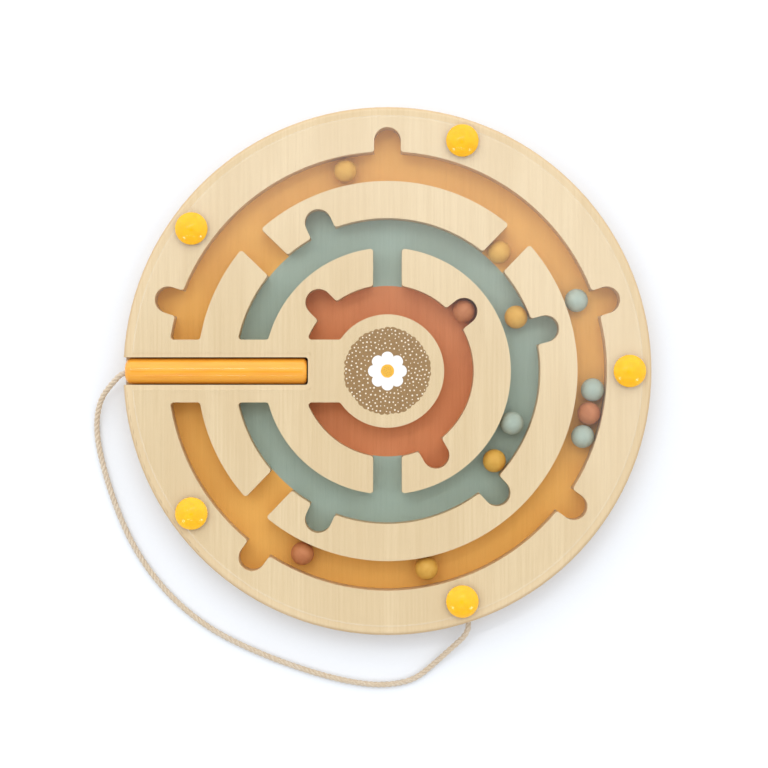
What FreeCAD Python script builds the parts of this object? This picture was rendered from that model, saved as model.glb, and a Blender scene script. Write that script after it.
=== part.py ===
"""Round magnetic ball maze: a plywood board with three ring lanes under a clear cover, twelve loose balls,
and a magnetic pen that is tethered by a cord and stored in a slot.

Millimetres, +Z up. The origin is the centre of the board's underside. The pen slot runs along -X.
"""

import math
import os

import FreeCAD, Part
import Sketcher
from FreeCAD import Placement, Rotation, Vector

SIZES = {
    # board
    "board_r": 130.5,
    "base_t": 5.0,
    "maze_t": 13.0,
    "edge_round": 2.0,
    "base_edge": 1.0,
    "corner_round": 1.5,
    "print_t": 0.3,
    # ring lanes: the mid radius of the inner one, the pitch to the next, and the width of each
    "lane_mid": 35.3,
    "lane_pitch": 32.9,
    "lane_half": 7.3,
    "bar_half": 15.5,
    "gate_half": 7.1,
    "pocket_r": 6.6,
    "pocket_out": 12.7,
    # slot for the pen, open at the rim and not cut right through
    "slot_half": 6.8,
    "slot_end": 39.2,
    "slot_floor": 6.5,
    # clear cover
    "cover_r": 126.0,
    "cover_t": 2.0,
    "cover_gap": 0.15,
    "cover_bevel": 0.6,
    "notch_half": 9.2,
    "notch_end": 37.7,
    "notch_round": 2.5,
    # domed cap nuts, and the screws that hold them from behind
    "cap_pitch_r": 119.3,
    "cap_r": 8.0,
    "cap_rise": 4.0,
    "cap_side": 0.8,
    "dome_r": 10.0,
    "stem_r": 2.5,
    "stem_play": 0.1,
    "cover_play": 0.2,
    "stem_foot": 6.0,
    "thread_r": 1.5,
    "thread_top": 17.0,
    "screw_head_r": 3.0,
    "screw_head_h": 1.6,
    "screw_sunk": 0.3,
    "screw_tip": 14.5,
    "screw_hole_r": 1.7,
    "sink_r": 3.5,
    "cross_half": 0.4,
    "cross_long": 1.9,
    "cross_deep": 1.0,
    # pen
    "pen_r": 6.5,
    "pen_len": 90.0,
    "pen_tip": 39.8,
    "pen_rest": 0.1,
    "tail_round": 3.5,
    "tip_round": 2.2,
    "magnet_r": 4.0,
    "magnet_len": 8.0,
    "plug_len": 2.0,
    "hidden_fit": 0.05,
    # cord, and the blind holes that its ends are glued into
    "cord_r": 1.4,
    "cord_hole_r": 1.5,
    "tail_hole_len": 8.5,
    "mouth_r": 2.4,
    "mouth_len": 2.2,
    "rim_hole_z": 9.0,
    "rim_hole_end": 124.0,
    # balls: a coloured shell round a steel core
    "ball_r": 5.75,
    "ball_lift": 0.1,
    "core_r": 3.5,
    # how far a cutting tool runs past what it cuts
    "past": 1.0,
}

LANES = ("red", "green", "orange")
POCKET_ANGLES = {"red": (38, 135, 300), "green": (15, 115, 245, 312), "orange": (18, 90, 162, 234, 324)}
GATE_ANGLES = {"red": (), "green": (90, 270), "orange": (46, 136, 226)}  # each leads to the next lane in
CAP_ANGLES = (0, 72, 144, 216, 288)
CORD_ANGLE = 288

# ball: the angle and the radius that it lies at, and how far it lies to the left of that radius line
BALLS = {
    "orange_1": (101.9, 101.5, 0.0),
    "orange_2": (46.0, 81.1, 1.2),
    "orange_3": (22.8, 69.3, 0.0),
    "orange_4": (-40.0, 69.3, 0.0),
    "orange_5": (-78.8, 99.9, 0.0),
    "green_1": (20.5, 100.2, 0.0),
    "green_2": (-5.2, 102.3, 0.0),
    "green_3": (-18.5, 102.3, 0.0),
    "green_4": (-22.7, 67.0, 0.0),
    "red_1": (-11.85, 102.3, 0.0),
    "red_2": (-115.0, 99.9, 0.0),
    "red_3": (38.2, 48.1, 0.0),
}

# The cord's route, from the blind hole in the rim to the one in the pen's tail.
CORD_ROUTE = (
    (38.9, -119.7, 9.0),
    (40.8, -125.5, 9.0),
    (39.2, -131.4, 8.2),
    (33.4, -137.0, 5.2),
    (23.6, -146.4, 2.2),
    (13.0, -155.2, 1.5),
    (-3.0, -157.7, 1.5),
    (-20.0, -155.6, 1.5),
    (-40.0, -150.3, 1.5),
    (-64.0, -141.6, 1.5),
    (-89.0, -129.6, 1.5),
    (-109.8, -112.4, 1.5),
    (-126.0, -91.0, 1.5),
    (-136.6, -67.4, 1.5),
    (-144.0, -42.8, 1.5),
    (-146.2, -26.6, 1.9),
    (-143.4, -13.6, 5.0),
    (-136.5, -5.6, 10.2),
    (-130.7, 0.0, 13.1),
    (-122.2, 0.0, 13.1),
)
ARC_SHARE = 0.45  # how much of the shorter run an arc takes at each point of the route

SAME = 0.01  # two lengths this close are the same
UPRIGHT = 0.999  # the least cosine between an upright edge and the Z axis
SMOOTH = 0.98  # the least cosine between the normals of two faces that run into each other smoothly

doc = FreeCAD.newDocument("ball_maze")


def size_sheet():
    """Puts the driving dimensions in a spreadsheet, one alias for each."""
    sheet = doc.addObject("Spreadsheet::Sheet", "dim")
    for row, (alias, size) in enumerate(SIZES.items(), start=1):
        sheet.set(f"A{row}", alias)
        sheet.set(f"B{row}", str(size))
        sheet.setAlias(f"B{row}", alias)
    doc.recompute()


def formula(text):
    """A sum such as "base_t + 2 * maze_t" as an expression on the sheet's cells."""
    return " ".join("dim." + word if word in SIZES else word for word in text.split())


def bind(item, **sizes):
    """Binds an object's properties to sums of the sheet's cells."""
    for name, text in sizes.items():
        item.setExpression(name, formula(text))


def at(item, x="0", y="0", z="0"):
    """Binds where an object stands."""
    for axis, text in zip("xyz", (x, y, z)):
        item.setExpression(f"Placement.Base.{axis}", formula(text))
    return item


def at_polar(item, radius, angle, z="0", turned=True):
    """Binds an object to a radius at an angle about the Z axis, and turns its own X outwards."""
    if turned:
        item.Placement = Placement(Vector(), Rotation(Vector(0, 0, 1), angle))
    item.setExpression("Placement.Base.x", f"({formula(radius)}) * cos({angle} deg)")
    item.setExpression("Placement.Base.y", f"({formula(radius)}) * sin({angle} deg)")
    item.setExpression("Placement.Base.z", formula(z))
    return item


def cylinder(name, radius, height):
    item = doc.addObject("Part::Cylinder", name)
    bind(item, Radius=radius, Height=height)
    return item


def box(name, length, width, height):
    item = doc.addObject("Part::Box", name)
    bind(item, Length=length, Width=width, Height=height)
    return item


def sphere(name, radius):
    item = doc.addObject("Part::Sphere", name)
    bind(item, Radius=radius)
    return item


def cut(name, base, tool):
    item = doc.addObject("Part::Cut", name)
    item.Base, item.Tool = base, tool
    return item


def fuse(name, items):
    item = doc.addObject("Part::MultiFuse", name)
    item.Shapes = items
    item.Refine = True
    return item


def common(name, one, other):
    item = doc.addObject("Part::MultiCommon", name)
    item.Shapes = [one, other]
    return item


def together(name, items):
    """Several solids that stay separate, as one object."""
    item = doc.addObject("Part::Compound", name)
    item.Links = items
    return item


def strip(name, start, end, half, angle, z, height):
    """A box along a radius line, from one radius to another."""
    item = box(name, f"{end} - ( {start} )", f"2 * {half}", height)
    item.Placement = Placement(Vector(), Rotation(Vector(0, 0, 1), angle))
    along, across = f"({formula(start)})", f"({formula(half)})"
    item.setExpression("Placement.Base.x", f"{along} * cos({angle} deg) + {across} * sin({angle} deg)")
    item.setExpression("Placement.Base.y", f"{along} * sin({angle} deg) - {across} * cos({angle} deg)")
    item.setExpression("Placement.Base.z", formula(z))
    return item


def rounded(name, item, radius, chosen):
    """Part::Fillet on the edges of an object that a test chooses."""
    doc.recompute()
    fillet = doc.addObject("Part::Fillet", name)
    fillet.Base = item
    numbers = [n for n, edge in enumerate(item.Shape.Edges, start=1) if chosen(edge)]
    fillet.Edges = [(n, SIZES[radius], SIZES[radius]) for n in numbers]
    return fillet


def lane_middle(lane):
    return f"lane_mid + {LANES.index(lane)} * lane_pitch"


def lane_area(lane, use, z, height):
    """One lane as a solid: its open ring, its pockets, and its gates to the next lane in."""
    middle, name = lane_middle(lane), f"{lane}_{use}"
    ring = cut(
        f"{name}_ring",
        at(cylinder(f"{name}_outer", f"{middle} + lane_half", height), z=z),
        at(cylinder(f"{name}_inner", f"{middle} - lane_half", height), z=z),
    )
    bar = at(
        box(f"{name}_bar", "board_r", "2 * bar_half", f"{height} + 2 * past"),
        "0 - board_r", "0 - bar_half", f"{z} - past",
    )
    pieces = [cut(f"{name}_open_ring", ring, bar)]
    for angle in POCKET_ANGLES[lane]:
        end = cylinder(f"{name}_pocket_{angle}", "pocket_r", height)
        pieces.append(at_polar(end, f"{middle} + pocket_out", angle, z))
        neck = (middle, f"{middle} + pocket_out", "pocket_r")
        pieces.append(strip(f"{name}_neck_{angle}", *neck, angle, z, height))
    for angle in GATE_ANGLES[lane]:
        gate = (f"{middle} - lane_pitch", middle, "gate_half")
        pieces.append(strip(f"{name}_gate_{angle}", *gate, angle, z, height))
    return fuse(f"{name}_area", pieces)


def is_upright(edge):
    """True for a straight edge along Z."""
    return edge.Curve.TypeId == "Part::GeomLine" and abs(edge.tangentAt(edge.FirstParameter).z) > UPRIGHT


def meets_at_corner(shape, edge):
    """True if the two faces beside an upright edge don't share a tangent."""
    point = edge.Vertexes[0].Point
    normals = []
    for face in shape.ancestorsOfType(edge, Part.Face):
        u, v = face.Surface.parameter(point)
        normals.append(face.normalAt(u, v))
    return len(normals) == 2 and abs(normals[0].dot(normals[1])) < SMOOTH


def maze_block():
    """The maze layer before it is taken apart: a disc with the lanes cut through and the pen slot cut in."""
    disc = at(cylinder("maze_disc", "board_r", "maze_t"), z="base_t")
    top = SIZES["base_t"] + SIZES["maze_t"]
    soft_disc = rounded("maze_disc_rounded", disc, "edge_round", lambda e: e.BoundBox.ZMin > top - SAME)
    z, height = "base_t - past", "maze_t + 2 * past"
    tools = [lane_area(lane, "cut", z, height) for lane in LANES]
    slot_cut = "base_t + maze_t + past - slot_floor"
    slot = box("slot_cut", "board_r + past - slot_end", "2 * slot_half", slot_cut)
    tools.append(at(slot, "0 - board_r - past", "0 - slot_half", "slot_floor"))
    for angle in CAP_ANGLES:
        hole = cylinder(f"stem_hole_{angle}", "stem_r + stem_play", height)
        tools.append(at_polar(hole, "cap_pitch_r", angle, z))
    sharp = cut("maze_sharp", soft_disc, fuse("maze_tools", tools))
    doc.recompute()
    inside = SIZES["board_r"] - SIZES["edge_round"] - SAME

    def corner(edge):
        near = Vector(edge.Vertexes[0].Point.x, edge.Vertexes[0].Point.y, 0).Length < inside
        return near and is_upright(edge) and meets_at_corner(sharp.Shape, edge)

    block = rounded("maze_block", sharp, "corner_round", corner)
    doc.recompute()
    return block


def solid_at(block, radius, angle):
    """The solid of the maze block that holds a point halfway up it, as an object of its own."""
    height = SIZES["base_t"] + SIZES["maze_t"] / 2
    point = Vector(radius * math.cos(math.radians(angle)), radius * math.sin(math.radians(angle)), height)
    return next(s for s in block.Shape.Solids if s.isInside(point, SAME, True))


def maze_islands(block):
    """The pieces of maze wall that the lanes and gates leave standing free."""
    between = SIZES["lane_mid"] + SIZES["lane_pitch"] / 2
    places = {
        "island_inner": (between, 0),
        "island_top": (between + SIZES["lane_pitch"], 90),
        "island_long": (between + SIZES["lane_pitch"], 0),
    }
    for name, (radius, angle) in places.items():
        item = doc.addObject("Part::Feature", name)
        item.Shape = solid_at(block, radius, angle)
        yield item


def maze_frame(block):
    """The rim, the bar with the pen slot, and the hub, with the blind hole that holds the cord's end."""
    whole = doc.addObject("Part::Feature", "maze_frame_plain")
    whole.Shape = solid_at(block, 0, 0)
    hole = cylinder("cord_hole", "cord_hole_r", "board_r - rim_hole_end + past")
    lying = Rotation(Vector(0, 0, 1), CORD_ANGLE) * Rotation(Vector(0, 1, 0), 90)
    hole.Placement = Placement(Vector(), lying)
    at_polar(hole, "rim_hole_end", CORD_ANGLE, "rim_hole_z", turned=False)
    return cut("maze_frame", whole, hole)


def floor_print(lane, block):
    """The coloured floor of one lane, which stops where the next lane in begins."""
    area = lane_area(lane, "floor", "base_t", "print_t")
    if lane != LANES[0]:
        reach = f"{lane_middle(lane)} - lane_pitch + lane_half"
        inner = cylinder(f"{lane}_floor_stop", reach, "print_t + 2 * past")
        area = cut(f"{lane}_floor_own", area, at(inner, z="base_t - past"))
    return cut(f"floor_{lane}", area, block)


def origin_feature(body, role):
    return next(f for f in body.Origin.OriginFeatures if f.Role == role)


def sketch(body, name, z="0", plane="XY_Plane"):
    item = body.newObject("Sketcher::SketchObject", name)
    item.AttachmentSupport = [(origin_feature(body, plane), "")]
    item.MapMode = "FlatFace"
    item.setExpression("AttachmentOffset.Base.z", formula(z))
    return item


def add_circle(drawing, radius, out=None):
    """A circle on the sketch's origin, or out along its X axis, with its sizes bound."""
    place = 0.0 if out is None else SIZES[out]
    start = SIZES["pen_r"]
    circle = drawing.addGeometry(Part.Circle(Vector(place, 0, 0), Vector(0, 0, 1), start), False)
    if out is None:
        drawing.addConstraint(Sketcher.Constraint("Coincident", circle, 3, -1, 1))
    else:
        drawing.addConstraint(Sketcher.Constraint("PointOnObject", circle, 3, -1))
        offset = drawing.addConstraint(Sketcher.Constraint("DistanceX", -1, 1, circle, 3, place))
        drawing.setExpression(f"Constraints[{offset}]", formula(out))
    size = drawing.addConstraint(Sketcher.Constraint("Radius", circle, start))
    drawing.setExpression(f"Constraints[{size}]", formula(radius))


def pad(body, name, profile, length):
    item = body.newObject("PartDesign::Pad", name)
    item.Profile = profile
    bind(item, Length=length)
    return item


def pocket(body, name, profile, length, upwards):
    item = body.newObject("PartDesign::Pocket", name)
    item.Profile = profile
    item.Reversed = upwards
    bind(item, Length=length)
    return item


def five_times(body, name, features):
    """Repeats features round the board, one for each cap nut."""
    item = body.newObject("PartDesign::PolarPattern", name)
    item.Originals = features
    item.Axis = (origin_feature(body, "Z_Axis"), [""])
    item.Angle = 360
    item.Occurrences = len(CAP_ANGLES)
    body.Tip = item
    return item


def rim_edges(shape, radius, z):
    """The names of the full circles of that radius at that height."""
    return [
        f"Edge{n}"
        for n, edge in enumerate(shape.Edges, start=1)
        if edge.Curve.TypeId == "Part::GeomCircle"
        and abs(edge.Curve.Radius - radius) < SAME
        and abs(edge.Curve.Center.z - z) < SAME
    ]


def base_board():
    """The back board, with a counterbored hole for each screw."""
    body = doc.addObject("PartDesign::Body", "base_board")
    outline = sketch(body, "base_outline")
    add_circle(outline, "board_r")
    disc = pad(body, "base_disc", outline, "base_t")
    doc.recompute()
    edge = body.newObject("PartDesign::Fillet", "base_edge")
    edge.Base = (disc, rim_edges(disc.Shape, SIZES["board_r"], 0))
    edge.setExpression("Radius", formula("base_edge"))
    doc.recompute()
    hole_outline = sketch(body, "screw_hole_outline")
    add_circle(hole_outline, "screw_hole_r", out="cap_pitch_r")
    hole = pocket(body, "screw_hole", hole_outline, "base_t + past", True)
    sink_outline = sketch(body, "sink_outline")
    add_circle(sink_outline, "sink_r", out="cap_pitch_r")
    sink = pocket(body, "screw_sink", sink_outline, "screw_head_h + screw_sunk", True)
    doc.recompute()
    five_times(body, "screw_holes", [hole, sink])
    return body


def clear_cover():
    """The clear sheet over the lanes, notched round the pen slot and drilled for the cap nuts' stems."""
    under = "base_t + maze_t + cover_gap"
    body = doc.addObject("PartDesign::Body", "clear_cover")
    outline = sketch(body, "cover_outline", under)
    add_circle(outline, "cover_r")
    disc = pad(body, "cover_disc", outline, "cover_t")
    doc.recompute()
    bevel = body.newObject("PartDesign::Chamfer", "cover_bevel")
    top = SIZES["base_t"] + SIZES["maze_t"] + SIZES["cover_gap"] + SIZES["cover_t"]
    bevel.Base = (disc, rim_edges(disc.Shape, SIZES["cover_r"], top))
    bevel.setExpression("Size", formula("cover_bevel"))
    doc.recompute()
    hole_outline = sketch(body, "cover_hole_outline", under)
    add_circle(hole_outline, "stem_r + cover_play", out="cap_pitch_r")
    hole = pocket(body, "cover_hole", hole_outline, "cover_t + past", True)
    doc.recompute()
    five_times(body, "cover_holes", [hole])
    doc.recompute()
    notch_outline = sketch(body, "notch_outline", under)
    add_notch(notch_outline)
    notch = pocket(body, "notch", notch_outline, "cover_t + past", True)
    body.Tip = notch
    doc.recompute()
    corners = [
        f"Edge{n}"
        for n, e in enumerate(notch.Shape.Edges, start=1)
        if is_upright(e) and abs(e.Vertexes[0].Point.x + SIZES["notch_end"]) < SAME
    ]
    soft = body.newObject("PartDesign::Fillet", "notch_corners")
    soft.Base = (notch, corners)
    soft.setExpression("Radius", formula("notch_round"))
    body.Tip = soft
    return body


def add_notch(drawing):
    """A rectangle along -X from the notch's end to past the cover's edge, with its sizes bound."""
    near, far, half = -SIZES["notch_end"], -SIZES["board_r"], SIZES["notch_half"]
    corners = [Vector(far, -half), Vector(near, -half), Vector(near, half), Vector(far, half)]
    sides = [drawing.addGeometry(Part.LineSegment(corners[i - 1], corners[i]), False) for i in range(4)]
    for one, other in zip(sides, sides[1:] + sides[:1]):
        drawing.addConstraint(Sketcher.Constraint("Coincident", one, 2, other, 1))
    left, bottom, right, top = sides
    drawing.addConstraint(Sketcher.Constraint("Vertical", left))
    for level in (bottom, top):
        drawing.addConstraint(Sketcher.Constraint("Horizontal", level))
    drawing.addConstraint(Sketcher.Constraint("Symmetric", right, 1, right, 2, -1))
    bounds = (
        ("DistanceX", (right, 1, -1, 1), -near, "notch_end"),
        ("DistanceX", (left, 1, -1, 1), -far, "board_r"),
        ("DistanceY", (right, 1, right, 2), 2 * half, "2 * notch_half"),
    )
    for kind, ends, size, text in bounds:
        number = drawing.addConstraint(Sketcher.Constraint(kind, *ends, size))
        drawing.setExpression(f"Constraints[{number}]", formula(text))


def dome_cap(angle):
    """One domed cap nut: a low dome on a stem that is drilled for its screw."""
    seat = "base_t + maze_t + cover_gap + cover_t"
    ball_z = f"{seat} + cap_side + cap_rise - dome_r"
    ball = at_polar(sphere(f"dome_{angle}", "dome_r"), "cap_pitch_r", angle, ball_z)
    side = cylinder(f"dome_side_{angle}", "cap_r", "cap_side + cap_rise")
    at_polar(side, "cap_pitch_r", angle, seat)
    stem = cylinder(f"stem_{angle}", "stem_r", f"{seat} - stem_foot + cap_side")
    at_polar(stem, "cap_pitch_r", angle, "stem_foot")
    body = fuse(f"cap_solid_{angle}", [common(f"cap_dome_{angle}", side, ball), stem])
    thread = cylinder(f"thread_{angle}", "thread_r", "thread_top - stem_foot + past")
    return cut(f"cap_{angle}", body, at_polar(thread, "cap_pitch_r", angle, "stem_foot - past"))


def back_screw(angle):
    """One flat-headed screw with a cross recess, up through the back board into a cap nut's stem."""
    head = cylinder(f"screw_head_{angle}", "screw_head_r", "screw_head_h")
    shank = cylinder(f"screw_shank_{angle}", "thread_r", "screw_tip - screw_sunk")
    for item in (head, shank):
        at_polar(item, "cap_pitch_r", angle, "screw_sunk")
    screw = fuse(f"screw_solid_{angle}", [head, shank])
    deep = (angle, "screw_sunk - past", "cross_deep + past")
    recess = []
    for name, out, across in (("long", "cross_long", "cross_half"), ("wide", "cross_half", "cross_long")):
        ends = (f"cap_pitch_r - {out}", f"cap_pitch_r + {out}", across)
        recess.append(strip(f"cross_{name}_{angle}", *ends, *deep))
    return cut(f"screw_{angle}", screw, fuse(f"cross_{angle}", recess))


def along_pen(item, x):
    """Lays a cylinder along the pen's axis, from x towards the tip at +X."""
    item.Placement = Placement(Vector(), Rotation(Vector(0, 1, 0), 90))
    return at(item, x, "0", "slot_floor + pen_rest + pen_r")


def pen_parts():
    """The pen's wooden barrel with a flared hole for the cord, its magnet, and the plug at its tip."""
    tail = "0 - pen_tip - pen_len"
    blank = along_pen(cylinder("pen_blank", "pen_r", "pen_len"), tail)
    tail_x, tip_x = -SIZES["pen_tip"] - SIZES["pen_len"], -SIZES["pen_tip"]
    one_end = rounded("pen_tail_rounded", blank, "tail_round", lambda e: e.BoundBox.XMax < tail_x + SAME)
    both = rounded("pen_rounded", one_end, "tip_round", lambda e: e.BoundBox.XMin > tip_x - SAME)
    tail_hole = along_pen(cylinder("tail_hole", "cord_hole_r", "tail_hole_len"), tail)
    mouth = doc.addObject("Part::Cone", "tail_hole_mouth")
    bind(mouth, Radius1="mouth_r", Radius2="cord_hole_r", Height="mouth_len")
    along_pen(mouth, tail)
    well = cylinder("magnet_well", "magnet_r + hidden_fit", "magnet_len + plug_len")
    along_pen(well, "0 - pen_tip - magnet_len - plug_len")
    barrel = cut("pen_barrel", both, fuse("pen_bores", [tail_hole, mouth, well]))
    magnet = cylinder("pen_magnet", "magnet_r", "magnet_len - hidden_fit")
    along_pen(magnet, "0 - pen_tip - magnet_len - plug_len + hidden_fit")
    plug = along_pen(cylinder("pen_tip_plug", "magnet_r", "plug_len"), "0 - pen_tip - plug_len")
    return barrel, magnet, plug


def ball_parts(name):
    """A ball's coloured shell and its steel core, in place in the lane."""
    angle, radius, aside = BALLS[name]
    turn = math.radians(angle)
    x = radius * math.cos(turn) - aside * math.sin(turn)
    y = radius * math.sin(turn) + aside * math.cos(turn)
    place = (f"{x:.4f}", f"{y:.4f}", "base_t + print_t + ball_lift + ball_r")
    solid = at(sphere(f"{name}_solid", "ball_r"), *place)
    hollow = at(sphere(f"{name}_hollow", "core_r + hidden_fit"), *place)
    return cut(f"ball_{name}", solid, hollow), at(sphere(f"core_{name}", "core_r"), *place)


def cord_wire(points):
    """Straight runs joined by tangent arcs, one at each point of a route."""
    points = [Vector(*p) for p in points]
    edges, here, radii = [], points[0], []
    for before, corner, after in zip(points, points[1:], points[2:]):
        back, ahead = (before - corner), (after - corner)
        reach = ARC_SHARE * min(back.Length, ahead.Length)
        back.normalize()
        ahead.normalize()
        half_turn = (math.pi - back.getAngle(ahead)) / 2
        radii.append(reach / math.tan(half_turn))
        start, end = corner + back * reach, corner + ahead * reach
        bisector = (back + ahead).normalize()
        middle = corner + bisector * (radii[-1] / math.cos(half_turn) - radii[-1])
        edges += [Part.LineSegment(here, start).toShape(), Part.Arc(start, middle, end).toShape()]
        here = end
    edges.append(Part.LineSegment(here, points[-1]).toShape())
    print("cord arc radii, mm:", " ".join(f"{r:.1f}" for r in radii))
    return Part.Wire(edges)


def tether_cord():
    """The cord as one round tube along its route."""
    wire = cord_wire(CORD_ROUTE)
    radius = SIZES["cord_r"]
    along = Vector(*CORD_ROUTE[1]) - Vector(*CORD_ROUTE[0])
    end = Part.Wire([Part.Circle(Vector(*CORD_ROUTE[0]), along, radius).toShape()])
    item = doc.addObject("Part::Feature", "tether_cord")
    item.Shape = wire.makePipeShell([end], True, True)
    ideal = math.pi * radius**2 * wire.Length
    print(f"cord length {wire.Length:.1f} mm, volume over ideal {item.Shape.Volume / ideal:.4f}")
    return item


def check(items):
    """Stops the script if any object failed, or if a piece isn't whole."""
    broken = [o.Name for o in doc.Objects if {"Invalid", "Error"} & set(o.State)]
    assert not broken, f"failed objects: {broken}"
    for item in items:
        shape = item.Shape
        assert not shape.isNull() and shape.isValid() and shape.Solids, f"{item.Label} has no valid solid"


def build():
    size_sheet()
    block = maze_block()
    pieces = [base_board(), maze_frame(block), *maze_islands(block)]
    pieces += [floor_print(lane, block) for lane in LANES]
    pieces.append(clear_cover())
    pieces.append(together("dome_caps", [dome_cap(angle) for angle in CAP_ANGLES]))
    pieces.append(together("back_screws", [back_screw(angle) for angle in CAP_ANGLES]))
    pieces += pen_parts()
    for name in BALLS:
        pieces += ball_parts(name)
    pieces.append(tether_cord())
    for item in pieces:
        item.Label = item.Name
    doc.recompute()
    check(pieces)
    return pieces


def export(pieces):
    os.makedirs("parts", exist_ok=True)
    for item in pieces:
        item.Shape.exportStep(f"parts/{item.Label}.step")
        span = item.Shape.BoundBox
        solids, volume = len(item.Shape.Solids), item.Shape.Volume
        print(f"{item.Label}: {solids} solid(s), {volume:.1f} mm3, z {span.ZMin:.2f} to {span.ZMax:.2f}")


export(build())
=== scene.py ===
"""Looks of the round magnetic ball maze: plywood, printed lanes, clear cover, lacquer, balls and cord."""

import math
import random

import bmesh
import bpy
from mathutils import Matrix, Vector


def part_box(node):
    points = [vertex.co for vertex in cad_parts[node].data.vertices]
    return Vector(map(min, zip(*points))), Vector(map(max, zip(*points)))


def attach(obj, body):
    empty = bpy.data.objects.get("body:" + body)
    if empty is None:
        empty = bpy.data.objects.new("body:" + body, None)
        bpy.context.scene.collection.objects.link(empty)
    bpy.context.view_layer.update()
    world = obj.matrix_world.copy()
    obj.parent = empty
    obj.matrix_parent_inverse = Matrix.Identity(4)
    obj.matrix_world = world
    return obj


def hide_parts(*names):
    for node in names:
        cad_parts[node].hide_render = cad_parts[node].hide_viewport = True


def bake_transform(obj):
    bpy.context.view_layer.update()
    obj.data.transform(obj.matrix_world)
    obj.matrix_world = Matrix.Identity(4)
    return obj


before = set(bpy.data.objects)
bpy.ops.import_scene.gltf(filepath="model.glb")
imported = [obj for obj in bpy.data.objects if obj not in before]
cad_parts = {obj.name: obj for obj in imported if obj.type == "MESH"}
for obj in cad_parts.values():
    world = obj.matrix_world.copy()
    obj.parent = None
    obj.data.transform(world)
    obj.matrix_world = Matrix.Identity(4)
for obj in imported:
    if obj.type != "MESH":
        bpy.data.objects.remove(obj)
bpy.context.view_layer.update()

MM = 0.001

# camera, looking straight down from about a metre above the board
VIEW_WIDTH = 0.3789
VIEW_DISTANCE = 1.0
VIEW_CENTRE = (-0.0017, -0.0064)
VIEW_STARTS = 0.01
SENSOR = 36.0

# the room's light: its strength at the bottom and the top of the view, and the dark gap overhead
SKY_STRENGTH = (0.76, 1.80)
SKY_COLOUR = (0.97, 0.99, 1.03, 1.0)
SKY_GAP_PLACE = (-0.05, -0.10, 1.0)
SKY_GAP_REACH = (0.12, 0.21)

# lamps, in metres and watts: two strips over the board, and a low lamp on each side of it
STRIP_SIZE = (1.3, 0.035)
BACK_STRIP_PLACE = (-0.15, 0.45, 1.1)
BACK_STRIP_POWER = 1.6
FRONT_STRIP_PLACE = (-0.15, -0.92, 1.1)
FRONT_STRIP_POWER = 1.2
LAMP_SIZE = (0.26, 0.26)
LAMP_ASIDE = 0.85
LAMP_Y = -0.75
LAMP_HEIGHT = 0.42
LAMP_POWER = 2.2
FLOOR_SIZE = 4.0

# cord
CORD_D = 2.8 * MM
STRANDS = 3
STRAND_TURN = 8.0 * MM
STRAND_SIDES = 10
STRAND_R = 0.275 * CORD_D
STRAND_OFFSET = 0.52 * CORD_D - STRAND_R
CORD_RING_GAP = 0.36 * MM
CORD_ROUTE = (
    (38.9, -119.7, 9.0),
    (40.8, -125.5, 9.0),
    (39.2, -131.4, 8.2),
    (33.4, -137.0, 5.2),
    (23.6, -146.4, 2.2),
    (13.0, -155.2, 1.5),
    (-3.0, -157.7, 1.5),
    (-20.0, -155.6, 1.5),
    (-40.0, -150.3, 1.5),
    (-64.0, -141.6, 1.5),
    (-89.0, -129.6, 1.5),
    (-109.8, -112.4, 1.5),
    (-126.0, -91.0, 1.5),
    (-136.6, -67.4, 1.5),
    (-144.0, -42.8, 1.5),
    (-146.2, -26.6, 1.9),
    (-143.4, -13.6, 5.0),
    (-136.5, -5.6, 10.2),
    (-130.7, 0.0, 13.1),
    (-122.2, 0.0, 13.1),
)

# plywood: the maze layer has nine plies and the back board five
MAZE_PLIES = 9
BACK_PLIES = 5
PLY_WAVER = 0.22 * MM

# the cover's notch in millimetres, and half the width over which the painted shade on the wood outside the
# cover fades in at its edge
NOTCH_HALF = 9.2
NOTCH_END = 37.7
TONE_BLUR = 0.4
# painted shade: a darker tone on the wood outside the cover, which brings its brightness near that of the
# covered wood
BARE_PAINTED_SHADE = (0.90, 0.88, 0.85, 1.0)

# how much more the sheet reflects than its upper face alone, because its lower face reflects too
BOTH_FACES = 1.9

# how far the sharp edges of the CAD nodes are eased, and the least turn of an edge that is
BOARD_EASE = 0.3 * MM
MAZE_EASE = 0.35 * MM
CAP_EASE = 0.3 * MM
SCREW_EASE = 0.12 * MM
PEN_EASE = 0.2 * MM
PLUG_EASE = 0.1 * MM
EASE_TURN = math.radians(35)
WELD_REACH = 0.002 * MM

# printed motif on the hub
PRINT_R = 21.7 * MM
PRINT_LAYER = 0.02 * MM
PRINT_SCALLOPS = 46
SCALLOP_STEPS = 6
SCALLOP_DEPTH_MM = (0.35, 0.8)
PRINT_DOTS = 250
DOT_TRIES = 40000
DOT_R_MM = (0.27, 0.46)
DOT_SPACING = 1.72 * MM
DOT_TO_RIM = 1.1 * MM
DOT_TO_PETAL = 0.8 * MM
PETALS = 8
PETAL_STEPS = 28
PETAL_REACH = 9.6 * MM
PETAL_MIDDLE = 0.62 * PETAL_REACH
PETAL_HALF_WIDTH = 2.9 * MM
FLOWER_EYE_R = 3.3 * MM
SEEDS = 18
SEED_R = 0.2 * MM
SEED_SPREAD = 0.55 * MM
SEED_TURN = 2.4


def linear(red, green, blue):
    """An sRGB colour, from 0 to 255, as Blender's linear colour."""
    def channel(value):
        value /= 255
        return value / 12.92 if value <= 0.04045 else ((value + 0.055) / 1.055) ** 2.4
    return (channel(red), channel(green), channel(blue), 1.0)


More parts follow.
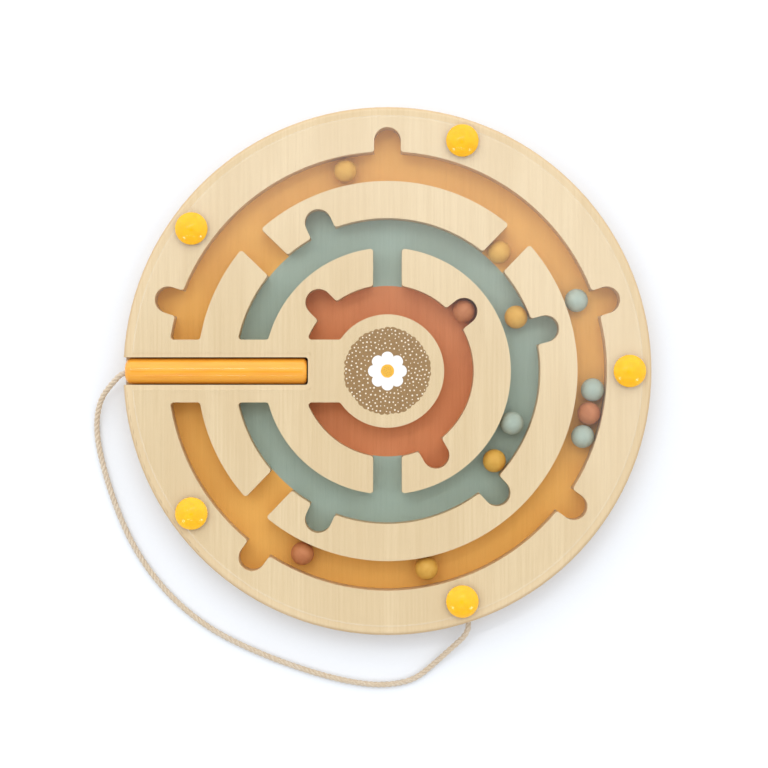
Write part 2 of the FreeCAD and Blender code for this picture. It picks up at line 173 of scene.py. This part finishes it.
class Graph:
    """The nodes of a material or a world, with a short call for each kind that this script uses."""

    def __init__(self, owner):
        owner.use_nodes = True
        self.tree = owner.node_tree
        self.place = self.node("ShaderNodeTexCoord")

    def node(self, kind, inputs=None, **settings):
        made = self.tree.nodes.new(kind)
        for name, value in settings.items():
            setattr(made, name, value)
        for name, value in (inputs or {}).items():
            self.feed(made.inputs[name], value)
        return made

    def feed(self, socket, value):
        """Links a node's output to a socket, or sets the socket's own value."""
        if isinstance(value, bpy.types.NodeSocket):
            self.tree.links.new(value, socket)
        else:
            socket.default_value = value

    def point(self, across=1.0, along=1.0, up=1.0, start=(0.0, 0.0, 0.0)):
        """The object's own coordinates in millimetres, times a scale on each axis."""
        scale = (across / MM, along / MM, up / MM)
        source = self.place.outputs["Object"]
        inputs = {"Vector": source, "Scale": scale, "Location": start}
        return self.node("ShaderNodeMapping", inputs).outputs[0]

    def noise(self, vector, scale=1.0, detail=3.0, rough=0.5, bend=0.0):
        inputs = {"Vector": vector, "Scale": scale, "Detail": detail}
        inputs |= {"Roughness": rough, "Distortion": bend}
        return self.node("ShaderNodeTexNoise", inputs).outputs["Fac"]

    def maths(self, operation, first, second=0.0, third=0.0, clamp=False):
        made = self.node("ShaderNodeMath", operation=operation, use_clamp=clamp)
        for socket, value in zip(made.inputs, (first, second, third)):
            self.feed(socket, value)
        return made.outputs[0]

    def remap(self, value, low, high, to_low=0.0, to_high=1.0, smooth=True):
        inputs = {"Value": value, "From Min": low, "From Max": high, "To Min": to_low, "To Max": to_high}
        kind = "SMOOTHSTEP" if smooth else "LINEAR"
        return self.node("ShaderNodeMapRange", inputs, interpolation_type=kind).outputs[0]

    def mix(self, factor, first, second, blend="MIX"):
        made = self.node("ShaderNodeMix", data_type="RGBA", blend_type=blend)
        for index, value in ((0, factor), (6, first), (7, second)):
            self.feed(made.inputs[index], value)
        return made.outputs[2]

    def bump(self, height, distance, strength=1.0):
        inputs = {"Height": height, "Distance": distance, "Strength": strength}
        return self.node("ShaderNodeBump", inputs).outputs[0]


class Surface(Graph):
    """A material."""

    def __init__(self, name):
        self.material = bpy.data.materials.new(name)
        super().__init__(self.material)
        self.shader = self.tree.nodes["Principled BSDF"]

    def set(self, **values):
        """Sets the surface shader's sockets, with _ for a space in a socket's name."""
        for name, value in values.items():
            self.feed(self.shader.inputs[name.replace("_", " ")], value)


# ---- wood --------------------------------------------------------------------------------------------


def grain(graph, across, seed):
    """Streaks, fine threads, broad figure and pores of wood whose grain runs across the x or y axis."""
    def stretched(fine, long, offset):
        scale = (fine, long) if across == "x" else (long, fine)
        return graph.point(*scale, fine, (seed + offset,) * 3)

    streaks = graph.noise(stretched(0.9, 0.018, 0.0), 1.0, 5.0, 0.62, 0.25)
    threads = graph.noise(stretched(5.0, 0.09, 3.7), 1.0, 3.0, 0.6)
    figure = graph.noise(stretched(0.045, 0.006, 9.1), 1.0, 2.0, 0.5, 0.6)
    pores = graph.remap(graph.noise(stretched(3.4, 0.30, 5.3), 1.0, 2.0, 0.5), 0.66, 0.74)
    return streaks, threads, figure, pores


def bare_wood(graph, cover_r):
    """How far a place lies outside the cover: 1 beyond its edge and in its notch, 0 under it."""
    parts = graph.node("ShaderNodeSeparateXYZ", {"Vector": graph.point()}).outputs
    flat = graph.node("ShaderNodeCombineXYZ", {"X": parts["X"], "Y": parts["Y"]}).outputs[0]
    out = graph.node("ShaderNodeVectorMath", {0: flat}, operation="LENGTH").outputs["Value"]
    beyond = graph.remap(out, cover_r - TONE_BLUR, cover_r + TONE_BLUR)
    aside = graph.remap(graph.maths("ABSOLUTE", parts["Y"]), NOTCH_HALF + TONE_BLUR, NOTCH_HALF - TONE_BLUR)
    along = graph.remap(parts["X"], TONE_BLUR - NOTCH_END, -TONE_BLUR - NOTCH_END)
    return graph.maths("MAXIMUM", beyond, graph.maths("MULTIPLY", aside, along))


def plywood(name, low_z, high_z, plies, pale, deep, bare_from=0.0):
    """Plywood as a solid: plies with crossed grain stacked up Z, so that cut edges show the plies.

    Wood that the cover leaves bare is darkened slightly by painted shade, which brings its brightness near
    that of the covered wood.
    """
    graph = Surface(name)
    pore_brown, glue_brown = linear(150, 112, 70), linear(128, 92, 58)
    crossed_brown, cut_brown = linear(196, 158, 110), linear(186, 142, 92)
    height = graph.node("ShaderNodeSeparateXYZ", {"Vector": graph.place.outputs["Object"]}).outputs["Z"]
    waver = graph.noise(graph.point(0.06, 0.06, 0.02), 1.0, 2.0)
    waved = graph.maths("MULTIPLY_ADD", waver, PLY_WAVER, height)
    low, high = low_z + PLY_WAVER / 2, high_z + PLY_WAVER / 2
    layer = graph.remap(waved, low, high, 0.0, float(plies), smooth=False)
    layer = graph.maths("MINIMUM", graph.maths("MAXIMUM", layer, 0.01), plies - 0.01)
    inside = graph.maths("FRACT", layer)
    crossed = graph.maths("GREATER_THAN", graph.maths("MODULO", graph.maths("FLOOR", layer), 2.0), 0.5)

    long_streaks, long_threads, figure, pores = grain(graph, "x", 0.0)
    end_streaks, end_threads, _, end_pores = grain(graph, "y", 31.0)
    streaks = graph.mix(crossed, long_streaks, end_streaks)
    threads = graph.mix(crossed, long_threads, end_threads)
    pore = graph.maths("MULTIPLY", graph.mix(crossed, pores, end_pores), 0.5)

    tone = graph.remap(streaks, 0.32, 0.68)
    colour = graph.mix(graph.maths("MULTIPLY", tone, 0.42), pale, deep)
    colour = graph.mix(graph.remap(figure, 0.42, 0.62, 0.0, 0.28), colour, deep)
    colour = graph.mix(graph.remap(threads, 0.45, 0.75, 0.0, 0.16), colour, deep)
    colour = graph.mix(graph.maths("MULTIPLY", pore, 0.32), colour, pore_brown)
    colour = graph.mix(graph.maths("MULTIPLY", crossed, 0.45), colour, crossed_brown)
    seam = graph.maths("MULTIPLY", graph.maths("ABSOLUTE", graph.maths("SUBTRACT", inside, 0.5)), 2.0)
    glue = graph.remap(seam, 0.90, 0.97, 0.0, 0.55)
    upright = graph.node("ShaderNodeSeparateXYZ", {"Vector": graph.place.outputs["Normal"]}).outputs["Z"]
    is_edge = graph.remap(graph.maths("ABSOLUTE", upright), 0.97, 0.80)
    glue = graph.maths("MULTIPLY", glue, is_edge)
    colour = graph.mix(glue, colour, glue_brown)
    colour = graph.mix(graph.maths("MULTIPLY", is_edge, 0.30), colour, cut_brown)
    if bare_from:
        # painted shade: the wood beyond the cover's edge and in its notch is darkened, so that it is no
        # brighter than the covered wood
        colour = graph.mix(bare_wood(graph, bare_from), colour, BARE_PAINTED_SHADE, "MULTIPLY")

    rough = graph.remap(streaks, 0.3, 0.7, 0.44, 0.60)
    graph.set(Base_Color=colour, Roughness=rough, Specular_IOR_Level=0.25)
    lift = graph.maths("SUBTRACT", graph.mix(0.35, streaks, threads), pore)
    graph.set(Normal=graph.bump(lift, 0.05 * MM, 0.55))
    return graph.material


def printed_floor(name, ink, worn, seed):
    """Ink on plywood: the grain shows through, and the colour clouds a little."""
    graph = Surface(name)
    streaks, threads, _, pores = grain(graph, "x", seed)
    cloud = graph.noise(graph.point(0.05, 0.05, 0.05), 1.0, 3.0)
    colour = graph.mix(graph.remap(streaks, 0.35, 0.7, 0.0, 0.30), ink, worn)
    colour = graph.mix(graph.remap(cloud, 0.35, 0.65, 0.0, 0.22), colour, worn)
    colour = graph.mix(graph.remap(threads, 0.5, 0.8, 0.0, 0.18), colour, worn, "MULTIPLY")
    colour = graph.mix(graph.maths("MULTIPLY", pores, 0.16), colour, linear(60, 50, 40))
    graph.set(Base_Color=colour, Roughness=graph.remap(streaks, 0.3, 0.7, 0.52, 0.68))
    graph.set(Specular_IOR_Level=0.3, Normal=graph.bump(graph.mix(0.4, streaks, threads), 0.03 * MM, 0.5))
    return graph.material


# ---- plastics, lacquer, metal ------------------------------------------------------------------------


def clear_sheet():
    """Acrylic sheet: clear, and whiter at its cut edges. It reflects only where light enters it."""
    graph = Surface("clear_acrylic")
    scuffs = graph.noise(graph.point(0.4, 0.4, 0.4), 1.0, 6.0, 0.7)
    rough = graph.remap(scuffs, 0.4, 0.8, 0.03, 0.10)
    gloss = graph.node("ShaderNodeBsdfGlossy", {"Color": (1, 1, 1, 1), "Roughness": rough})
    through = graph.node("ShaderNodeBsdfTransparent", {"Color": (0.994, 0.995, 0.992, 1)})
    milky = graph.node("ShaderNodeBsdfDiffuse", {"Color": (0.93, 0.92, 0.88, 1), "Roughness": 0.4})
    leaving = graph.node("ShaderNodeNewGeometry").outputs["Backfacing"]
    one_face = graph.node("ShaderNodeFresnel", {"IOR": 1.45}).outputs[0]
    reflected = graph.maths("MULTIPLY", one_face, BOTH_FACES)
    mirror = graph.maths("MULTIPLY", reflected, graph.maths("SUBTRACT", 1.0, leaving), clamp=True)
    body = graph.node("ShaderNodeMixShader", {0: mirror, 1: through.outputs[0], 2: gloss.outputs[0]})
    upright = graph.node("ShaderNodeSeparateXYZ", {"Vector": graph.place.outputs["Normal"]}).outputs["Z"]
    edge = graph.remap(graph.maths("ABSOLUTE", upright), 0.95, 0.6, 0.0, 0.03)
    whole = graph.node("ShaderNodeMixShader", {0: edge, 1: body.outputs[0], 2: milky.outputs[0]})
    graph.feed(graph.tree.nodes["Material Output"].inputs["Surface"], whole.outputs[0])
    graph.tree.nodes.remove(graph.shader)
    return graph.material


def moulded(name, colour, shade):
    """Glossy moulded plastic with a faint orange-peel and fine scuffs."""
    graph = Surface(name)
    cloud = graph.noise(graph.point(0.25, 0.25, 0.25), 1.0, 2.0)
    peel = graph.noise(graph.point(1.1, 1.1, 1.1), 1.0, 2.0)
    scuffs = graph.noise(graph.point(3.0, 0.5, 3.0), 1.0, 4.0, 0.7)
    graph.set(Base_Color=graph.mix(graph.remap(cloud, 0.35, 0.65, 0.0, 0.5), colour, shade))
    graph.set(Roughness=graph.remap(scuffs, 0.45, 0.75, 0.14, 0.26), Specular_IOR_Level=0.32)
    graph.set(Subsurface_Weight=0.15, Subsurface_Radius=(0.0016, 0.0009, 0.0003))
    graph.set(Normal=graph.bump(peel, 0.03 * MM, 0.25))
    return graph.material


def bead(name, colour, shade):
    """A matt painted ball: slightly uneven coat, with fine speckle and rubbed spots."""
    graph = Surface(name)
    cloud = graph.noise(graph.point(0.35, 0.35, 0.35), 1.0, 3.0)
    speckle = graph.noise(graph.point(6.0, 6.0, 6.0), 1.0, 2.0)
    base = graph.mix(graph.remap(cloud, 0.35, 0.65, 0.0, 0.45), colour, shade)
    base = graph.mix(graph.remap(speckle, 0.58, 0.75, 0.0, 0.30), base, shade)
    graph.set(Base_Color=base, Roughness=graph.remap(cloud, 0.3, 0.7, 0.50, 0.66), Specular_IOR_Level=0.4)
    graph.set(Normal=graph.bump(graph.mix(0.5, cloud, speckle), 0.04 * MM, 0.5))
    return graph.material


def lacquered_wood(name, colour, shade):
    """Gloss lacquer over turned wood: faint grain along X under a smooth coat."""
    graph = Surface(name)
    streaks = graph.noise(graph.point(0.03, 1.3, 1.3), 1.0, 4.0, 0.6)
    cloud = graph.noise(graph.point(0.06, 0.3, 0.3), 1.0, 2.0)
    base = graph.mix(graph.remap(streaks, 0.35, 0.7, 0.0, 0.34), colour, shade)
    base = graph.mix(graph.remap(cloud, 0.4, 0.65, 0.0, 0.25), base, shade)
    scuffs = graph.noise(graph.point(0.8, 4.0, 4.0), 1.0, 4.0, 0.7)
    graph.set(Base_Color=base, Roughness=graph.remap(scuffs, 0.4, 0.75, 0.24, 0.38))
    graph.set(Specular_IOR_Level=0.05, Coat_Weight=0.8, Coat_Roughness=0.03)
    graph.set(Normal=graph.bump(streaks, 0.03 * MM, 0.35))
    return graph.material


def steel(name, colour, rough):
    """Plated steel with fine turning marks and dull patches."""
    graph = Surface(name)
    marks = graph.noise(graph.point(0.6, 0.6, 14.0), 1.0, 4.0, 0.6)
    stain = graph.noise(graph.point(0.5, 0.5, 0.5), 1.0, 3.0)
    graph.set(Base_Color=graph.mix(graph.remap(stain, 0.35, 0.7, 0.0, 0.5), colour, linear(120, 118, 112)))
    graph.set(Metallic=1.0, Roughness=graph.remap(stain, 0.3, 0.7, rough, rough + 0.18))
    graph.set(Normal=graph.bump(marks, 0.02 * MM, 0.4))
    return graph.material


def cotton():
    """Twisted cotton: fibres along each strand, which the strand's own UV follows, with a soft sheen."""
    graph = Surface("cotton_cord")
    fibre, pale_fibre = linear(199, 181, 156), linear(217, 206, 186)
    hollow, yellowed = linear(172, 145, 120), linear(204, 182, 148)
    lay = graph.node("ShaderNodeMapping", {"Vector": graph.place.outputs["UV"], "Scale": (260.0, 5.0, 1.0)})
    fibres = graph.noise(lay.outputs[0], 1.0, 4.0, 0.65, 0.4)
    fuzz = graph.noise(graph.point(3.0, 3.0, 3.0), 1.0, 3.0, 0.6)
    patches = graph.noise(graph.point(0.07, 0.07, 0.07), 1.0, 2.0)
    colour = graph.mix(graph.remap(fibres, 0.35, 0.7), fibre, pale_fibre)
    colour = graph.mix(graph.remap(fuzz, 0.35, 0.6, 0.35, 0.0), colour, hollow)
    colour = graph.mix(graph.remap(patches, 0.4, 0.6, 0.0, 0.3), colour, yellowed)
    graph.set(Base_Color=colour, Roughness=0.85, Specular_IOR_Level=0.2)
    graph.set(Sheen_Weight=0.35, Sheen_Roughness=0.5)
    graph.set(Normal=graph.bump(graph.mix(0.5, fibres, fuzz), 0.08 * MM, 0.8))
    return graph.material


def ink(name, colour, worn):
    """A flat layer of screen ink on wood, thinner where the grain dips."""
    graph = Surface(name)
    streaks, threads, _, _ = grain(graph, "x", 12.0)
    base = graph.mix(graph.remap(streaks, 0.4, 0.75, 0.0, 0.35), colour, worn)
    base = graph.mix(graph.remap(threads, 0.5, 0.8, 0.0, 0.25), base, worn)
    graph.set(Base_Color=base, Roughness=graph.remap(threads, 0.3, 0.7, 0.50, 0.64), Specular_IOR_Level=0.3)
    graph.set(Normal=graph.bump(graph.mix(0.5, streaks, threads), 0.02 * MM, 0.4))
    return graph.material


# ---- CAD nodes ---------------------------------------------------------------------------------------


def dress(node, material, ease=0.0, segments=2):
    """Gives a CAD node its material, and eases its sharp edges by a small radius."""
    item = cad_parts[node]
    item.data.materials.clear()
    item.data.materials.append(material)
    if ease:
        weld = item.modifiers.new("weld", "WELD")
        weld.merge_threshold = WELD_REACH
        bevel = item.modifiers.new("eased_edges", "BEVEL")
        bevel.width = ease
        bevel.segments = segments
        bevel.limit_method = "ANGLE"
        bevel.angle_limit = EASE_TURN
        bevel.use_clamp_overlap = True
        bevel.harden_normals = True


def dress_all():
    """Gives every CAD node that stays visible its material."""
    base_low, base_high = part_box("base_board")
    maze_low, maze_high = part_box("maze_frame")
    cover_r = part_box("clear_cover")[1].x / MM
    maze_colours = linear(224, 203, 166), linear(208, 183, 142)
    back_colours = linear(219, 196, 157), linear(200, 173, 130)
    maze = plywood("maze_ply", maze_low.z, maze_high.z, MAZE_PLIES, *maze_colours, bare_from=cover_r)
    back = plywood("back_ply", base_low.z, base_high.z, BACK_PLIES, *back_colours)
    dress("base_board", back, BOARD_EASE)
    for node in ("maze_frame", "island_inner", "island_top", "island_long"):
        dress(node, maze, MAZE_EASE)
    dress("floor_orange", printed_floor("orange_print", linear(240, 182, 91), linear(226, 164, 79), 41.0))
    dress("floor_green", printed_floor("green_print", linear(164, 183, 170), linear(150, 169, 156), 47.0))
    dress("floor_red", printed_floor("red_print", linear(218, 139, 90), linear(200, 121, 78), 53.0))
    dress("clear_cover", clear_sheet())
    dress("dome_caps", moulded("yellow_plastic", linear(236, 178, 20), linear(230, 165, 15)), CAP_EASE, 3)
    dress("back_screws", steel("screw_steel", linear(196, 194, 188), 0.30), SCREW_EASE)
    lacquer = lacquered_wood("pen_lacquer", linear(236, 165, 52), linear(224, 138, 42))
    dress("pen_barrel", lacquer, PEN_EASE)
    dress("pen_tip_plug", lacquer, PLUG_EASE)
    dress("pen_magnet", steel("magnet", linear(205, 205, 208), 0.2))
    beads = {
        "orange": bead("orange_ball", linear(216, 167, 72), linear(205, 150, 60)),
        "green": bead("green_ball", linear(171, 184, 170), linear(155, 170, 157)),
        "red": bead("red_ball", linear(190, 121, 75), linear(173, 103, 64)),
    }
    core = steel("core_steel", linear(190, 190, 190), 0.25)
    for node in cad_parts:
        if node.startswith("ball_"):
            dress(node, beads[node.split("_")[1]])
        if node.startswith("core_"):
            dress(node, core)


# ---- printed motif -----------------------------------------------------------------------------------


def flat_piece(name, outlines, bottom, top, material):
    """A thin printed layer on the board: closed outlines in X and Y, from one height up to another."""
    mesh = bmesh.new()
    for outline in outlines:
        low = [mesh.verts.new((x, y, bottom)) for x, y in outline]
        high = [mesh.verts.new((x, y, top)) for x, y in outline]
        mesh.faces.new(high)
        mesh.faces.new(list(reversed(low)))
        for i in range(len(outline)):
            mesh.faces.new((low[i - 1], low[i], high[i], high[i - 1]))
    bmesh.ops.recalc_face_normals(mesh, faces=mesh.faces)
    data = bpy.data.meshes.new(name)
    mesh.to_mesh(data)
    mesh.free()
    piece = bpy.data.objects.new(name, data)
    bpy.context.scene.collection.objects.link(piece)
    data.materials.append(material)
    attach(piece, "board")


def ring_of(centre, radius, steps, wobble=0.0, dice=None):
    """A round outline about a point, with an optional random wobble."""
    outline = []
    for step in range(steps):
        angle = math.tau * step / steps
        reach = radius * (1 + (dice.uniform(-wobble, wobble) if dice else 0.0))
        outline.append((centre[0] + reach * math.cos(angle), centre[1] + reach * math.sin(angle)))
    return outline


def scalloped_disc(dice):
    """A brushed-looking disc: short rounded strokes round its edge, none quite like the next."""
    outline = []
    for scallop in range(PRINT_SCALLOPS):
        reach = PRINT_R * (1 + dice.uniform(-0.022, 0.012))
        depth = dice.uniform(*SCALLOP_DEPTH_MM) * MM
        for step in range(SCALLOP_STEPS):
            angle = math.tau * (scallop + step / SCALLOP_STEPS) / PRINT_SCALLOPS
            radius = reach - depth * (1 - math.sin(math.pi * step / SCALLOP_STEPS))
            outline.append((radius * math.cos(angle), radius * math.sin(angle)))
    return outline


def petal(angle):
    """A rounded petal that widens outwards from the flower's eye."""
    outline = []
    for step in range(PETAL_STEPS):
        turn = math.tau * step / PETAL_STEPS
        along = PETAL_MIDDLE + (PETAL_REACH - PETAL_MIDDLE) * math.cos(turn)
        across = PETAL_HALF_WIDTH * math.sin(turn) * (1 + 0.22 * math.cos(turn))
        outline.append((
            along * math.cos(angle) - across * math.sin(angle),
            along * math.sin(angle) + across * math.cos(angle),
        ))
    return outline


def scattered_dots(dice):
    """Centres and sizes of cream dots between the flower and the disc's edge, never touching."""
    dots, tries = [], 0
    while len(dots) < PRINT_DOTS and tries < DOT_TRIES:
        tries += 1
        radius = math.sqrt(dice.uniform(0.0, 1.0)) * (PRINT_R - DOT_TO_RIM)
        angle = dice.uniform(0.0, math.tau)
        size = dice.uniform(*DOT_R_MM) * MM
        spot = (radius * math.cos(angle), radius * math.sin(angle))
        if radius < PETAL_REACH + DOT_TO_PETAL:
            continue
        if all(math.dist(spot, other) > DOT_SPACING for other, _ in dots):
            dots.append((spot, size))
    return dots


def hub_print():
    """The motif on the hub, a generic flower on a dotted disc, as layers of ink under the clear cover."""
    dice = random.Random(7)
    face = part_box("maze_frame")[1].z
    layer = PRINT_LAYER
    brown = ink("print_brown", linear(158, 126, 84), linear(142, 110, 70))
    cream = ink("print_cream", linear(250, 240, 220), linear(236, 222, 196))
    white = ink("print_white", linear(246, 244, 242), linear(232, 228, 222))
    ochre = ink("print_ochre", linear(240, 186, 66), linear(226, 168, 54))
    flat_piece("hub_print_disc", [scalloped_disc(dice)], face, face + layer, brown)
    dots = [ring_of(spot, size, 9, 0.14, dice) for spot, size in scattered_dots(dice)]
    flat_piece("hub_print_dots", dots, face + layer, face + 1.6 * layer, cream)
    petals = [petal(math.tau * number / PETALS) for number in range(PETALS)]
    for number, outline in enumerate(petals):
        top = face + (2.0 + 0.05 * number) * layer
        flat_piece(f"hub_print_petal_{number + 1}", [outline], face + layer, top, white)
    eye = ring_of((0.0, 0.0), FLOWER_EYE_R, 40, 0.02, dice)
    flat_piece("hub_print_eye", [eye], face + layer, face + 3.2 * layer, ochre)
    seeds = [ring_of((out * math.cos(turn), out * math.sin(turn)), SEED_R, 8)
             for out, turn in ((SEED_SPREAD * math.sqrt(n), SEED_TURN * n) for n in range(1, SEEDS + 1))]
    flat_piece("hub_print_seeds", seeds, face + 3.2 * layer, face + 3.8 * layer, brown)


# ---- cord --------------------------------------------------------------------------------------------


def spline_points(route):
    """Points along the smooth line that has the route's points as its control points."""
    data = bpy.data.curves.new("cord_line", "CURVE")
    data.dimensions = "3D"
    data.resolution_u = 24
    spline = data.splines.new("NURBS")
    spline.points.add(len(route) - 1)
    for point, place in zip(spline.points, route):
        point.co = (*(value * MM for value in place), 1.0)
    spline.order_u = 3
    spline.use_endpoint_u = True
    line = bpy.data.objects.new("cord_line", data)
    bpy.context.scene.collection.objects.link(line)
    bpy.context.view_layer.update()
    mesh = bpy.data.meshes.new_from_object(line)
    points = [vertex.co.copy() for vertex in mesh.vertices]
    bpy.data.objects.remove(line)
    return points


def evenly(points, gap):
    """The same line with its points an even distance apart."""
    lengths = [0.0]
    for one, other in zip(points, points[1:]):
        lengths.append(lengths[-1] + (other - one).length)
    count = round(lengths[-1] / gap)
    spaced, index = [], 0
    for number in range(count + 1):
        target = lengths[-1] * number / count
        while index < len(points) - 2 and lengths[index + 1] < target:
            index += 1
        share = (target - lengths[index]) / (lengths[index + 1] - lengths[index])
        spaced.append(points[index].lerp(points[index + 1], share))
    return spaced, lengths[-1]


def carried_frames(points):
    """Each point of a line with two side vectors, which are carried along it without twisting."""
    frames, side = [], Vector((0.0, 0.0, 1.0))
    for number, point in enumerate(points):
        before, after = points[max(number - 1, 0)], points[min(number + 1, len(points) - 1)]
        ahead = (after - before).normalized()
        side = (side - ahead * side.dot(ahead)).normalized()
        frames.append((point, side, ahead.cross(side)))
    return frames


def add_strand(mesh, around, line):
    """Adds a round strand along a line to the mesh, with a UV that runs along it and round it."""
    rings = []
    for point, side, other in carried_frames(line):
        ring = []
        for corner in range(STRAND_SIDES):
            turn = math.tau * corner / STRAND_SIDES
            out = side * math.cos(turn) + other * math.sin(turn)
            ring.append(mesh.verts.new(point + out * STRAND_R))
        rings.append(ring)
    for number, (ring, following) in enumerate(zip(rings, rings[1:])):
        for corner in range(STRAND_SIDES):
            after = (corner + 1) % STRAND_SIDES
            face = mesh.faces.new((ring[corner], ring[after], following[after], following[corner]))
            face.smooth = True
            marks = ((number, corner), (number, corner + 1), (number + 1, corner + 1), (number + 1, corner))
            for loop, (row, column) in zip(face.loops, marks):
                loop[around].uv = (row / len(rings), column / STRAND_SIDES)
    mesh.faces.new(list(reversed(rings[0])))
    mesh.faces.new(rings[-1])


def twisted_cord():
    """Three cotton strands laid round each other, from the rim's hole to the hole in the pen's tail."""
    centres, length = evenly(spline_points(CORD_ROUTE), CORD_RING_GAP)
    frames = carried_frames(centres)
    mesh = bmesh.new()
    around = mesh.loops.layers.uv.new("UVMap")
    for strand in range(STRANDS):
        helix = []
        for number, (point, side, other) in enumerate(frames):
            turn = math.tau * (number * length / (len(frames) - 1) / STRAND_TURN + strand / STRANDS)
            across, up = STRAND_OFFSET * math.cos(turn), STRAND_OFFSET * math.sin(turn)
            helix.append(point + side * across + other * up)
        add_strand(mesh, around, helix)
    data = bpy.data.meshes.new("twisted_cord")
    mesh.to_mesh(data)
    mesh.free()
    piece = bpy.data.objects.new("twisted_cord", data)
    bpy.context.scene.collection.objects.link(piece)
    data.materials.append(cotton())
    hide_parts("tether_cord")
    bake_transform(piece)


# ---- stage -------------------------------------------------------------------------------------------


def camera():
    """A camera straight above the board, as far above its top as the view needs."""
    data = bpy.data.cameras.new("camera")
    data.sensor_width = SENSOR
    data.lens = SENSOR * VIEW_DISTANCE / VIEW_WIDTH
    data.clip_start = VIEW_STARTS
    item = bpy.data.objects.new("camera", data)
    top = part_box("maze_frame")[1].z
    item.location = (*VIEW_CENTRE, top + VIEW_DISTANCE)
    bpy.context.scene.collection.objects.link(item)
    bpy.context.scene.camera = item


def area_light(name, place, size, power, only=None):
    """A light with soft round ends that faces the board's centre, and may reach only one CAD node."""
    data = bpy.data.lights.new(name, "AREA")
    data.shape = "ELLIPSE"
    data.size, data.size_y = size
    data.energy = power
    item = bpy.data.objects.new(name, data)
    item.location = place
    item.rotation_euler = Vector(place).to_track_quat("Z", "Y").to_euler()
    if only:
        reached = bpy.data.collections.new(name + "_reaches")
        reached.objects.link(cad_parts[only])
        item.light_linking.receiver_collection = reached
    bpy.context.scene.collection.objects.link(item)


def floor():
    """A plain pale floor under the toy."""
    mesh = bmesh.new()
    bmesh.ops.create_grid(mesh, x_segments=1, y_segments=1, size=FLOOR_SIZE)
    data = bpy.data.meshes.new("floor")
    mesh.to_mesh(data)
    mesh.free()
    item = bpy.data.objects.new("floor", data)
    bpy.context.scene.collection.objects.link(item)
    graph = Surface("floor_paper")
    fleck = graph.noise(graph.point(0.5, 0.5, 0.5), 1.0, 4.0)
    paper = graph.mix(fleck, (0.785, 0.805, 0.825, 1), (0.805, 0.825, 0.845, 1))
    graph.set(Base_Color=paper, Roughness=0.9, Specular_IOR_Level=0.1)
    data.materials.append(graph.material)


def sky():
    """The room's light: brighter from the top of the view, with a dark gap overhead."""
    world = bpy.data.worlds.new("studio")
    bpy.context.scene.world = world
    graph = Graph(world)
    towards = graph.place.outputs["Generated"]
    parts = graph.node("ShaderNodeSeparateXYZ", {"Vector": towards}).outputs
    wide = graph.remap(parts["Y"], -0.8, 0.8, *SKY_STRENGTH)
    level = graph.node("ShaderNodeVectorMath", {0: towards, 1: parts["Z"]}, operation="DIVIDE").outputs[0]
    apart = graph.node("ShaderNodeVectorMath", {0: level, 1: SKY_GAP_PLACE}, operation="DISTANCE")
    strength = graph.maths("MULTIPLY", wide, graph.remap(apart.outputs["Value"], *SKY_GAP_REACH))
    background = graph.tree.nodes["Background"]
    graph.feed(background.inputs["Color"], SKY_COLOUR)
    graph.feed(background.inputs["Strength"], strength)


def lights():
    """The room's light, two strips for the lines along the pen, and two lamps for the cap nuts only."""
    sky()
    area_light("strip", BACK_STRIP_PLACE, STRIP_SIZE, BACK_STRIP_POWER)
    area_light("front_strip", FRONT_STRIP_PLACE, STRIP_SIZE, FRONT_STRIP_POWER)
    area_light("left_lamp", (-LAMP_ASIDE, LAMP_Y, LAMP_HEIGHT), LAMP_SIZE, LAMP_POWER, only="dome_caps")
    area_light("right_lamp", (LAMP_ASIDE, LAMP_Y, LAMP_HEIGHT), LAMP_SIZE, LAMP_POWER, only="dome_caps")
    bpy.context.scene.view_settings.view_transform = "Standard"


camera()
twisted_cord()
dress_all()
hub_print()
floor()
lights()
